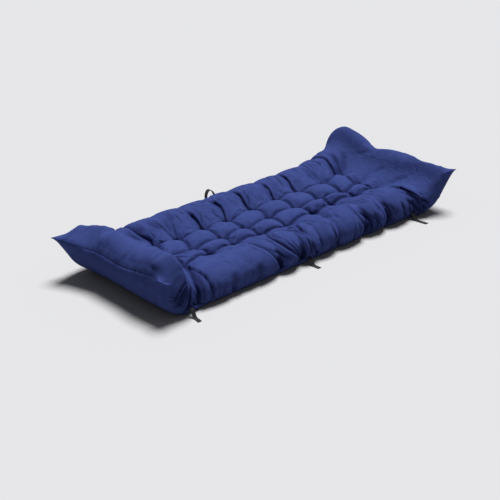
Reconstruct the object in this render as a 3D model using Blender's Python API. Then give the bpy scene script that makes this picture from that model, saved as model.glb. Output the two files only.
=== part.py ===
"""A long tufted seat cushion, lying flat with both ends turned up, and its tie tapes.

Metres, +Z up, +X along the cushion, +Y to its back edge. The surface that it lies on
is z = 0. The cushion is one filled solid: a top and a bottom panel sewn together round
the rim, with three rows of tufts that draw the top down.

The shape is worked out on the cushion as cut. There s runs along it, y across it and n
up from the underside, and the ends are then bent up about the tuft field.
"""

import math

import bmesh
import bpy
import numpy as np
from mathutils import Matrix

# Tufts: the lines where the thread pulls the top down, and the height it is pulled to
TUFT_COLUMNS = (-0.348, -0.2495, -0.1525, -0.055, 0.0455, 0.1505, 0.2475, 0.3435, 0.4285)
TUFT_ROWS = (-0.068, 0.002, 0.076)
PIT_HEIGHTS = (0.046, 0.038, 0.046)

# The sewn rim along the two long sides, and the crowns of the filling
SEAM_HALF_DEPTH = 0.204
SEAM_HEIGHT = 0.020
SIDE_WAIST = 0.045
SIDE_CREST = 0.154
UNDER_ROLL = 0.026
FIELD_CROWN = 0.079
CREASE_SCALLOP = 0.014
SEAM_SCALLOP = 0.004

# The front border, -1, and the back border, 1: how far each bulges over its seam
BORDERS = {
    -1: {"bulge": 0.013, "crown": 0.100},
    1: {"bulge": 0.020, "crown": 0.099},
}

# The untufted pad at the left end, -1, and at the right end, 1, and how each turns up:
# the underside in a tight bend, the top in a slack one about the same corner
ENDS = {
    -1: {
        "length": 0.262, "crown": 0.108, "crest": 0.13, "roll": 0.095, "waist": 0.060,
        "seam_height": 0.012, "under_roll": 0.040, "bend_corner": -0.521,
        "bend_angle": math.radians(74), "under_radius": 0.110, "top_radius": 0.130,
    },
    1: {
        "length": 0.240, "crown": 0.074, "crest": 0.10, "roll": 0.055, "waist": 0.034,
        "seam_height": 0.010, "under_roll": 0.040, "bend_corner": 0.551,
        "bend_angle": math.radians(62), "under_radius": 0.085, "top_radius": 0.170,
    },
}

# How each corner is drawn out into an ear, by the signs of its end and side. Flare is
# how much wider the pad is than the tufted field on that side
EARS = {
    (-1, -1): {"along": 0.010, "across": 0.012, "outward": 0.004, "flare": 0.004},
    (-1, 1): {"along": 0.030, "across": 0.016, "outward": 0.036, "flare": 0.006},
    (1, -1): {"along": 0.026, "across": 0.026, "outward": -0.010, "flare": 0.016},
    (1, 1): {"along": 0.018, "across": 0.018, "outward": 0.000, "flare": 0.030},
}
EAR_START = 0.08
FLARE_REACH = 0.06

# Where the seam of an end dips or rises along its way across the cushion
END_WAVES = (
    {"end": 1, "y": 0.080, "reach": 0.055, "along": -0.026},
    {"end": 1, "y": -0.110, "reach": 0.070, "along": 0.004},
    {"end": -1, "y": 0.055, "reach": 0.075, "along": 0.034},
)

# The creases from the outer tufts over the two borders, from the left: how far the
# foot leans along the cushion, and how deep the crease is, 1 being the deepest
FRONT_CREASES = (
    {"lean": -0.060, "depth": 1.00},
    {"lean": 0.010, "depth": 0.20},
    {"lean": 0.050, "depth": 1.00},
    {"lean": 0.045, "depth": 0.80},
    {"lean": 0.010, "depth": 0.50},
    {"lean": -0.014, "depth": 0.90},
    {"lean": 0.010, "depth": 1.00},
    {"lean": 0.006, "depth": 0.80},
    {"lean": 0.055, "depth": 1.00},
)
BACK_CREASES = (
    {"lean": -0.045, "depth": 0.90},
    {"lean": -0.006, "depth": 0.80},
    {"lean": 0.000, "depth": 0.70},
    {"lean": 0.004, "depth": 0.80},
    {"lean": 0.000, "depth": 0.90},
    {"lean": 0.006, "depth": 0.80},
    {"lean": 0.000, "depth": 0.90},
    {"lean": 0.004, "depth": 0.70},
    {"lean": -0.020, "depth": 1.00},
)

# How sharp a crease and how round a shoulder are: powers of a sine
CREASE_POWER = 0.48
SHOULDER_POWER = 0.75

# How much of a puff's height the lines across the cushion decide, by zone
FIELD_SHARE = 0.50
BORDER_SHARE = 0.40
PAD_SHARE = 0.86

# Cells of the panels
CELLS_BETWEEN_COLUMNS = 8
CELLS_ON_PAD = 10
CELLS_ON_END_ROLL = 5
CELLS_BETWEEN_ROWS = 6
CELLS_TO_CREST = 5
CELLS_ON_SIDE_ROLL = 7
CELLS_UNDER_ROLL = 3

# Tie tapes: where each leaves the front rim, how far it lies out on the surface, and
# how far it drifts along X on the way
TAPE_WIDTH = 0.013
TAPE_THICKNESS = 0.0012
TAPE_GAP = 0.0004
TAPE_LIFT = 0.0002
TAPE_DROOP = 0.022
TAPE_STEPS = 14
FRONT_TIES = {
    "tie_front_left": {"x": -0.444, "reach": 0.042, "drift": -0.004},
    "tie_front_middle": {"x": 0.010, "reach": 0.042, "drift": 0.003},
    "tie_front_right": {"x": 0.462, "reach": 0.056, "drift": 0.008},
}
BACK_LOOP = {"x": 0.010, "width": 0.034, "rise": 0.066, "reach": 0.040, "belly": 0.25}

QUARTER = math.pi / 2
SIDE_RIM_ANGLE = -math.asin(1.0 - SEAM_HEIGHT / SIDE_WAIST)
for end in ENDS.values():
    end["rim_angle"] = -math.asin(1.0 - end["seam_height"] / end["waist"])


def smooth(value):
    """0 below 0 and 1 above 1, with a soft run between."""
    value = np.clip(value, 0.0, 1.0)
    return value * value * (3.0 - 2.0 * value)


def mix(first, second, share):
    return first * (1.0 - share) + second * share


def above(angle):
    """The height of a roll over its waist at an angle, from 0 to 1."""
    return np.maximum(np.sin(angle), 0.0)


def below(angle):
    """The height of a roll up to its waist at an angle, from 0 to 1."""
    return 1.0 + np.minimum(np.sin(angle), 0.0)


def by_end(s, key):
    """A size of the nearer end, for places along the cushion."""
    return np.where(s < 0, ENDS[-1][key], ENDS[1][key])


def by_border(share, key):
    """A size of the nearer border, for places across the cushion."""
    return np.where(share < 0, BORDERS[-1][key], BORDERS[1][key])


def stations():
    """The places along the cushion: s of the top, of the underside and of the rim, and angles.

    A roll angle is a quarter turn up to where the roll starts, and its rim angle on the rim.
    """
    top, under, rim, roll, under_roll = [], [], [], [], []
    for side in (-1, 1):
        end = ENDS[side]
        rim_angle = end["rim_angle"]
        column = TUFT_COLUMNS[0] if side < 0 else TUFT_COLUMNS[-1]
        seam = column + side * end["length"]
        start = seam - side * end["roll"] * math.cos(rim_angle)
        under_start = seam - side * end["under_roll"] * math.cos(rim_angle)
        angles = np.linspace(QUARTER, rim_angle, CELLS_ON_END_ROLL + 1)[1:]
        low_angles = np.linspace(-QUARTER, rim_angle, CELLS_ON_END_ROLL + 1)[1:]
        high_s = start + side * end["roll"] * np.cos(angles)
        low_s = under_start + side * end["under_roll"] * np.cos(low_angles)
        own = [
            np.append(np.linspace(column, start, CELLS_ON_PAD + 1)[1:], high_s),
            np.append(np.linspace(column, under_start, CELLS_ON_PAD + 1)[1:], low_s),
            np.linspace(column, seam, CELLS_ON_PAD + CELLS_ON_END_ROLL + 1)[1:],
            np.append(np.full(CELLS_ON_PAD, QUARTER), angles),
            np.append(np.full(CELLS_ON_PAD, -QUARTER), low_angles),
        ]
        for lane, values in zip((top, under, rim, roll, under_roll), own):
            lane.append(values[::side])
    field = [
        np.linspace(left, right, CELLS_BETWEEN_COLUMNS + 1)[:-1]
        for left, right in zip(TUFT_COLUMNS, TUFT_COLUMNS[1:])
    ]
    field = np.append(np.concatenate(field), TUFT_COLUMNS[-1])
    still = np.full(len(field), QUARTER)
    lanes = ((top, field), (under, field), (rim, field), (roll, still), (under_roll, -still))
    return [np.concatenate([lane[0], middle, lane[1]]) for lane, middle in lanes]


def lines_across():
    """The lines across the cushion, from the front rim: shares of the rim's half depth, and angles.

    Each is given for the top, for the underside and for the rim of an end.
    """
    outer = SIDE_CREST / SEAM_HALF_DEPTH
    angles = np.linspace(SIDE_RIM_ANGLE, QUARTER, CELLS_ON_SIDE_ROLL + 1)
    rounded = outer + (1.0 - outer) * np.where(angles > 0, np.cos(angles), 1.0)
    low_angles = np.linspace(SIDE_RIM_ANGLE, -QUARTER, CELLS_UNDER_ROLL + 1)
    low_start = 1.0 - UNDER_ROLL * math.cos(SIDE_RIM_ANGLE) / SEAM_HALF_DEPTH
    low = low_start + UNDER_ROLL * np.cos(low_angles) / SEAM_HALF_DEPTH
    shares = [[], [], []]
    turns = [[], []]
    for side, row in ((-1, TUFT_ROWS[0]), (1, TUFT_ROWS[-1])):
        row_share = abs(row) / SEAM_HALF_DEPTH
        inner = np.linspace(outer, row_share, CELLS_TO_CREST + 1)[1:]
        plain = np.linspace(1.0, outer, CELLS_ON_SIDE_ROLL + 1)
        rest = CELLS_ON_SIDE_ROLL + CELLS_TO_CREST - CELLS_UNDER_ROLL
        under_inner = np.linspace(low_start, row_share, rest + 1)[1:]
        own = (np.append(rounded, inner), np.append(low, under_inner), np.append(plain, inner))
        for lane, values in zip(shares, own):
            lane.append(side * values[::-side])
        turns[0].append(np.append(angles, np.full(CELLS_TO_CREST, QUARTER))[::-side])
        turns[1].append(np.append(low_angles, np.full(rest, -QUARTER))[::-side])
    middle = np.concatenate([
        np.linspace(low_row, high_row, CELLS_BETWEEN_ROWS + 1)[1:]
        for low_row, high_row in zip(TUFT_ROWS, TUFT_ROWS[1:])
    ])[:-1] / SEAM_HALF_DEPTH
    still = np.full(len(middle), QUARTER)
    return (
        [np.concatenate([lane[0], middle, lane[1]]) for lane in shares],
        [np.concatenate([lane[0], part, lane[1]]) for lane, part in zip(turns, (still, -still))],
    )


def past_columns(s):
    """How far each place lies beyond the first or the last tuft column."""
    return np.maximum(np.maximum(TUFT_COLUMNS[0] - s, s - TUFT_COLUMNS[-1]), 0.0)


def past_rows(y):
    """How far each place lies beyond the front or the back tuft row."""
    return np.maximum(np.maximum(TUFT_ROWS[0] - y, y - TUFT_ROWS[-1]), 0.0)


def puff(place, lines, past, crest):
    """0 on each tuft line, 1 between two of them and again beyond the outer ones."""
    count = np.interp(place, lines, np.arange(len(lines)))
    inside = np.abs(np.sin(math.pi * count)) ** CREASE_POWER
    beyond = np.sin(QUARTER * np.minimum(past / crest, 1.0)) ** SHOULDER_POWER
    return np.where(past > 0.0, beyond, inside)


def by_column(s, side_is_back, key):
    """A crease's lean or depth, run on between the tuft columns."""
    front = np.interp(s, TUFT_COLUMNS, [row[key] for row in FRONT_CREASES])
    back = np.interp(s, TUFT_COLUMNS, [row[key] for row in BACK_CREASES])
    return np.where(side_is_back, back, front)


def corner_reach(s, share):
    """From 0 to 1, how near a place is to the cushion's corner, along it and across it."""
    along = np.clip((past_columns(s) - EAR_START) / (by_end(s, "length") - EAR_START), 0.0, 1.0)
    start = EAR_START / SEAM_HALF_DEPTH
    across = np.clip((np.abs(share) - start) / (1.0 - start), 0.0, 1.0)
    return along, across


def by_corner(s, share, key):
    """A size of the nearest corner's ear."""
    found = np.zeros(np.broadcast(s, share).shape)
    for (end, side), sizes in EARS.items():
        found = np.where((np.sign(s) == end) & (np.sign(share) == side), sizes[key], found)
    return found


def ear(s, share, key):
    """How far the nearest corner's ear draws a place out, for one of its three ways."""
    along, across = corner_reach(s, share)
    return by_corner(s, share, key) * along**2 * across**2


def flare(s, share):
    """How far a pad stands out across the cushion, past the tufted field's sides."""
    return by_corner(s, share, "flare") * np.abs(share) * smooth(past_columns(s) / FLARE_REACH)


def wave(s, share):
    """How far the seam of the nearer end is moved along the cushion, growing towards it."""
    moved = np.zeros(np.broadcast(s, share).shape)
    for row in END_WAVES:
        near = np.exp(-(((share * SEAM_HALF_DEPTH - row["y"]) / row["reach"]) ** 2))
        moved = moved + np.where(np.sign(s) == row["end"], row["end"] * row["along"] * near, 0.0)
    return moved * (past_columns(s) / by_end(s, "length")) ** 2


def bent(s, n, slack):
    """The place in the upright plane of a point of the cushion as cut, with the ends turned up.

    Slack is 0 for the underside's tight bend and 1 for the top's.
    """
    x, z = np.array(s, float), np.array(n, float)
    for side, end in ENDS.items():
        angle = end["bend_angle"]
        radius = mix(end["under_radius"], end["top_radius"], slack)
        start = end["bend_corner"] - side * radius * math.tan(angle / 2)
        past = side * (s - start)
        turn = np.clip(past / radius, 0.0, angle)
        straight = np.maximum(past - radius * angle, 0.0)
        out = radius * np.sin(turn) + straight * math.cos(angle) - n * np.sin(turn)
        up = radius * (1.0 - np.cos(turn)) + straight * math.sin(angle) + n * np.cos(turn)
        x = np.where(past > 0.0, start + side * out, x)
        z = np.where(past > 0.0, up, z)
    return x, z


def panels():
    """The top's and the underside's points, each as an array by station and line."""
    top_s, under_s, rim_s, roll, under_roll = (lane[:, None] for lane in stations())
    (top_share, under_share, end_share), (turn, under_turn) = lines_across()
    back = top_share > 0
    to_rim = smooth((QUARTER - turn) / (QUARTER - SIDE_RIM_ANGLE))
    rim_angle = by_end(rim_s, "rim_angle")
    to_end = smooth((QUARTER - roll) / (QUARTER - rim_angle))
    under_to_rim = below(under_turn) / below(SIDE_RIM_ANGLE)
    under_to_end = below(under_roll) / below(rim_angle)

    # Zones: 0 on the tuft field, 1 on a border or a pad
    border = smooth(past_rows(top_share * SEAM_HALF_DEPTH) / (SIDE_CREST - abs(TUFT_ROWS[0])))
    pad_crest = by_end(rim_s, "crest")
    pad = smooth(past_columns(rim_s) / pad_crest)
    column_depth = mix(1.0, by_column(rim_s, back, "depth"), border)
    along = puff(rim_s, TUFT_COLUMNS, past_columns(rim_s), pad_crest)
    along = 1.0 - column_depth * (1.0 - along)
    row_y = top_share * SEAM_HALF_DEPTH
    across = puff(row_y, TUFT_ROWS, past_rows(row_y), SIDE_CREST - abs(TUFT_ROWS[0]))
    share = (
        FIELD_SHARE * (1 - border) * (1 - pad)
        + BORDER_SHARE * border * (1 - pad)
        + PAD_SHARE * (1 - border) * pad
        + FIELD_SHARE * border * pad
    )
    puffed = np.sqrt(share * along**2 + (1.0 - share) * across**2)
    pits = np.interp(row_y, TUFT_ROWS, PIT_HEIGHTS)
    crown = mix(mix(FIELD_CROWN, by_border(top_share, "crown"), border), by_end(rim_s, "crown"), pad)
    crown = pits + (crown - pits) * puffed

    # Heights of the top, thinned towards each corner's ear
    waist = mix(SIDE_WAIST, by_end(rim_s, "waist"), pad)
    near_along, near_across = corner_reach(rim_s, top_share)
    fullness = 1.0 - (near_along * near_across) ** 2
    low = waist * below(turn) * below(roll)
    top_n = (low + (crown - waist) * above(turn) * above(roll)) * fullness

    # Places of the top: the sides bulge over the rim and are drawn in at the creases
    dent = (1.0 - along) * border
    lean = by_column(rim_s, back, "lean") * border * (1.0 - pad)
    rim_y = SEAM_HALF_DEPTH - SEAM_SCALLOP * (1.0 - along[:, [0, -1]])
    half_depth = np.where(back, rim_y[:, 1:], rim_y[:, :1])
    rim_cos = math.cos(SIDE_RIM_ANGLE)
    over = np.where(turn > 0, np.cos(turn), (np.cos(turn) - rim_cos) / (1 - rim_cos))
    over = over * (by_border(top_share, "bulge") - CREASE_SCALLOP * dent) * (1.0 - near_along)
    top_flat = mix(top_share, end_share, to_end)
    drawn = ear(rim_s, top_flat, "across") + flare(rim_s, top_flat)
    top_y = top_flat * half_depth + np.sign(top_share) * (over + drawn)
    drawn = np.sign(rim_s) * ear(rim_s, top_flat, "along") + wave(rim_s, top_flat)
    top_along = mix(top_s, rim_s, to_rim) + lean + drawn
    top_n = top_n - ear(rim_s, top_flat, "outward")

    # The underside: flat, and rolled up to meet the top on the rim
    under_flat = mix(under_share, end_share, under_to_end)
    drawn = ear(rim_s, under_flat, "across") + flare(rim_s, under_flat)
    under_y = under_flat * half_depth + np.sign(under_share) * drawn
    drawn = np.sign(rim_s) * ear(rim_s, under_flat, "along") + wave(rim_s, under_flat)
    edge_lean = np.where(back, lean[:, -1:], lean[:, :1])
    under_along = mix(under_s, rim_s, under_to_rim) + drawn + edge_lean * under_to_rim
    bare = top_n + ear(rim_s, top_flat, "outward")
    side_rim = np.where(back, bare[:, -1:], bare[:, :1])
    end_rim = np.where(rim_s < 0, bare[:1], bare[-1:])
    corner = np.where(rim_s < 0, side_rim[:1], side_rim[-1:])
    under_n = (
        side_rim * under_to_rim + end_rim * under_to_end - corner * under_to_rim * under_to_end
    ) - ear(rim_s, under_flat, "outward")
    made = []
    slack = (1.0 - to_rim) * (1.0 - to_end)
    for s, y, n, share in ((top_along, top_y, top_n, slack), (under_along, under_y, under_n, 0.0)):
        x, z = bent(s, n, share)
        made.append(np.stack([x, y, z], axis=-1))
    return made


def fabric(name, colour, roughness):
    made = bpy.data.materials.new(name)
    made.use_nodes = True
    shader = made.node_tree.nodes["Principled BSDF"]
    shader.inputs["Base Color"].default_value = (*colour, 1.0)
    shader.inputs["Roughness"].default_value = roughness
    return made


def solid(name, mesh, material):
    """A finished bmesh as an object of the scene."""
    data = bpy.data.meshes.new(name)
    mesh.to_mesh(data)
    mesh.free()
    data.materials.append(material)
    data.shade_smooth()
    made = bpy.data.objects.new(name, data)
    bpy.context.scene.collection.objects.link(made)
    return made


def build_cushion(top, under, material):
    """The filled cushion: both panels as grids that share the points of the rim."""
    rows, columns = top.shape[:2]
    mesh = bmesh.new()
    top_points = [[mesh.verts.new(top[i, j]) for j in range(columns)] for i in range(rows)]
    under_points = [
        [
            top_points[i][j] if i in (0, rows - 1) or j in (0, columns - 1)
            else mesh.verts.new(under[i, j])
            for j in range(columns)
        ]
        for i in range(rows)
    ]
    for points, order in ((top_points, 1), (under_points, -1)):
        for i in range(rows - 1):
            for j in range(columns - 1):
                corners = ((i, j), (i + 1, j), (i + 1, j + 1), (i, j + 1))[::order]
                mesh.faces.new([points[a][b] for a, b in corners])
    return solid("cushion", mesh, material)


def build_tape(name, path, across, material):
    """A flat tape along a path in an upright plane, with its width along X."""
    path = np.array(path)
    ahead = np.gradient(path, axis=0)
    ahead /= np.linalg.norm(ahead, axis=1)[:, None]
    up = np.cross(ahead, across)
    up *= TAPE_THICKNESS / 2 / np.linalg.norm(up, axis=1)[:, None]
    half = np.array(across) * TAPE_WIDTH / 2
    mesh = bmesh.new()
    rings = [
        [mesh.verts.new(point + corner) for corner in (-half - high, half - high, half + high, high - half)]
        for point, high in zip(path, up)
    ]
    for first, second in zip(rings, rings[1:]):
        for k in range(4):
            mesh.faces.new((first[k], first[(k + 1) % 4], second[(k + 1) % 4], second[k]))
    mesh.faces.new(rings[0][::-1])
    mesh.faces.new(rings[-1])
    return solid(name, mesh, material)


def rim_point(top, x, side):
    """The point of the front rim, side -1, or of the back rim, side 1, at a place along X."""
    rim = top[:, 0] if side < 0 else top[:, -1]
    return [float(np.interp(x, rim[:, 0], rim[:, k])) for k in range(3)]


def build_front_tie(name, sizes, top, material):
    """A tape that leaves the front rim, droops to the surface and lies on it, with a free end."""
    rim = rim_point(top, sizes["x"], -1)
    lying = TAPE_THICKNESS / 2 + TAPE_LIFT
    path = []
    for k in range(TAPE_STEPS + 1):
        t = k / TAPE_STEPS
        out = TAPE_GAP + sizes["reach"] * t
        drop = float(smooth(out / TAPE_DROOP))
        path.append((rim[0] + sizes["drift"] * t * t, rim[1] - out, mix(rim[2], lying, drop)))
    return build_tape(name, path, (1.0, 0.0, 0.0), material)


def build_back_loop(name, sizes, top, material):
    """A tape that stands behind the back edge as a loop, both of its ends at the rim."""
    rim = rim_point(top, sizes["x"], 1)
    path = []
    for k in range(2 * TAPE_STEPS + 1):
        t = k / (2 * TAPE_STEPS)
        angle = math.pi * t
        path.append((
            rim[0] - sizes["width"] / 2 * math.cos(angle) * (1 + sizes["belly"] * math.sin(angle)),
            rim[1] + TAPE_GAP + TAPE_WIDTH / 2 + sizes["reach"] * math.sin(angle) ** 0.4,
            rim[2] + sizes["rise"] * math.sin(angle),
        ))
    return build_tape(name, path, (0.0, 1.0, 0.0), material)


def centre(made):
    """Moves every piece alike, so that the middle of their box's bottom is the origin."""
    points = np.array([vertex.co for piece in made for vertex in piece.data.vertices])
    low, high = points.min(axis=0), points.max(axis=0)
    shift = np.array([-(low[0] + high[0]) / 2, -(low[1] + high[1]) / 2, -low[2]])
    for piece in made:
        piece.data.transform(Matrix.Translation(shift))
    print("moved by", [round(float(value), 5) for value in shift])


def main():
    for old in list(bpy.data.objects):
        bpy.data.objects.remove(old)
    cloth = fabric("navy_cloth", (0.018, 0.032, 0.155), 0.85)
    tape = fabric("black_tape", (0.006, 0.006, 0.010), 0.80)
    top, under = panels()
    made = [build_cushion(top, under, cloth)]
    for name, sizes in FRONT_TIES.items():
        made.append(build_front_tie(name, sizes, top, tape))
    made.append(build_back_loop("tie_back_loop", BACK_LOOP, top, tape))
    centre(made)


main()
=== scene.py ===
"""The looks of a tufted seat cushion: its filled cloth, its seams and folds, and its tie tapes.

Metres, in the frame's axes: +X along the cushion, +Y to its back edge, +Z up. The cushion
lies on z = 0. Its form is worked out on the cushion as cut, where s runs along it, y across
it and n up from the underside, and the ends are then bent up about the tuft field.
"""

import logging
import math
from dataclasses import dataclass, field
from enum import Enum

import bmesh
import bpy
import numpy as np
from mathutils import Matrix, Vector


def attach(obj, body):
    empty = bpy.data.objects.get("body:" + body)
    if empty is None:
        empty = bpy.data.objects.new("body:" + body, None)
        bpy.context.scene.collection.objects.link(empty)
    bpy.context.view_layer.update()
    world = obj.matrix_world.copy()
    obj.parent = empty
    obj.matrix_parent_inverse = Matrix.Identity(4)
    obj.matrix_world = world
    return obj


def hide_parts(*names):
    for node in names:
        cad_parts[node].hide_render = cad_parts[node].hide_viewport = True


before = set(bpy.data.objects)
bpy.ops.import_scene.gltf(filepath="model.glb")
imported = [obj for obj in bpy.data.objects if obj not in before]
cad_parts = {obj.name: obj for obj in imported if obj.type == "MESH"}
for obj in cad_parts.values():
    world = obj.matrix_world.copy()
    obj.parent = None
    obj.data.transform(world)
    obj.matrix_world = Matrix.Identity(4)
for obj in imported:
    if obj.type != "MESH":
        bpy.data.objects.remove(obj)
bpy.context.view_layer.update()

# Where the cushion as cut stands in the frame
CENTRE = (-0.01209, 0.00295)
QUARTER = math.pi / 2
# The least divisors, for a length and for a way over the cloth
TINY = 1e-9
LEAST_WAY = 1e-12
Array = np.ndarray
Values = Array | float
Triple = tuple[float, float, float]
Socket = bpy.types.NodeSocket
log = logging.getLogger("cushion")


class End(Enum):
    """An end of the cushion, by its sign along X."""

    LEFT = -1
    RIGHT = 1


class Side(Enum):
    """A long side of the cushion, by its sign along Y."""

    FRONT = -1
    BACK = 1


def smooth(value: Values) -> Array:
    """0 below 0 and 1 above 1, with a soft run between."""
    value = np.clip(value, 0.0, 1.0)
    return value * value * (3.0 - 2.0 * value)


def bell(off: Values, width: float) -> Array:
    """1 in the middle, and softly down to 0 on both sides."""
    return np.exp(-((off / width) ** 2))


def mix(first: Values, second: Values, share: Values) -> Values:
    """The first value at a share of 0, and the second at 1."""
    return first * (1.0 - share) + second * share


def above(angle: Array) -> Array:
    """The height of a roll over its waist at an angle, from 0 to 1."""
    return np.maximum(np.sin(angle), 0.0)


def below(angle: Values) -> Array:
    """The height of a roll up to its waist at an angle, from 0 to 1."""
    return 1.0 + np.minimum(np.sin(angle), 0.0)


def counted(places: Array, lines: tuple[float, ...]) -> Array:
    """Places as counts of the lines that they lie between, from 0 on the first of them."""
    return np.interp(places, lines, np.arange(len(lines)))


def between(table: Array, u: Array, v: Array) -> Array:
    """A table's value at each column u and row v, run on softly between its entries."""
    left = np.minimum(u.astype(int), table.shape[1] - 2)
    low = np.minimum(v.astype(int), table.shape[0] - 2)
    across = smooth(u - left)
    first, second = (mix(table[row, left], table[row, left + 1], across) for row in (low, low + 1))
    return mix(first, second, smooth(v - low))


def nearest(values: Array, value: float) -> int:
    """The index of the value that is closest to a given one."""
    return int(np.abs(values - value).argmin())


def lengths(points: Array, axis: int) -> Array:
    """How far each point lies along its line of points, from the first one on it."""
    ahead = np.cumsum(np.linalg.norm(np.diff(points, axis=axis), axis=-1), axis=axis)
    return np.insert(ahead, 0, 0.0, axis=axis)


def capped(moves: Array, most: float) -> Array:
    """The moves, held softly under a greatest length."""
    far = np.linalg.norm(moves, axis=-1, keepdims=True)
    return moves * most * np.tanh(far / most) / np.maximum(far, TINY)


def twice(grid: Array) -> Array:
    """A grid with twice as many cells each way, on the smooth surface that its points describe."""
    for _ in range(2):
        finer = np.empty((2 * len(grid) - 1, *grid.shape[1:]))
        finer[1::2] = (grid[:-1] + grid[1:]) / 2
        finer[::2] = grid
        finer[2:-2:2] = (grid[:-2] + 6 * grid[1:-1] + grid[2:]) / 8
        grid = finer.swapaxes(0, 1)
    return grid


@dataclass(frozen=True)
class Crease:
    """A crease from an outer tuft over a border: how far its foot leans along X, and its depth."""

    lean: float
    depth: float


@dataclass(frozen=True)
class Border:
    """A long side: how far it bulges over its seam, its crown, and its creases from the left.

    The swell says how much fuller it is than that, place by place along the cushion, and the
    crest share how much of a crease is left on its crest.
    """

    bulge: float
    crown: float
    creases: tuple[Crease, ...]
    swell: tuple[tuple[float, float], ...] = ((0.0, 0.0),)
    crest_share: float = 1.0


@dataclass(frozen=True)
class PadEnd:
    """An untufted end pad, and how it turns up about its corner in the upright plane."""

    length: float
    crown: float
    crest: float
    roll: float
    waist: float
    seam_height: float
    under_roll: float
    bend_corner: float
    bend_angle: float
    under_radius: float
    top_radius: float

    @property
    def rim_angle(self) -> float:
        """The angle of the end's roll at which the seam lies."""
        return -math.asin(1.0 - self.seam_height / self.waist)


@dataclass(frozen=True)
class Ear:
    """How a corner is drawn out, three ways, how much wider its pad is, and how much it thins."""

    along: float
    across: float
    outward: float
    flare: float
    taper: float = 0.0


@dataclass(frozen=True)
class Wave:
    """A dip or rise of an end's seam on its way across the cushion."""

    end: End
    y: float
    reach: float
    along: float


@dataclass(frozen=True)
class Panel:
    """A sewn panel as grids by station and line: places, and sheet coordinates in metres."""

    points: Array
    sheet: Array


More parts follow.
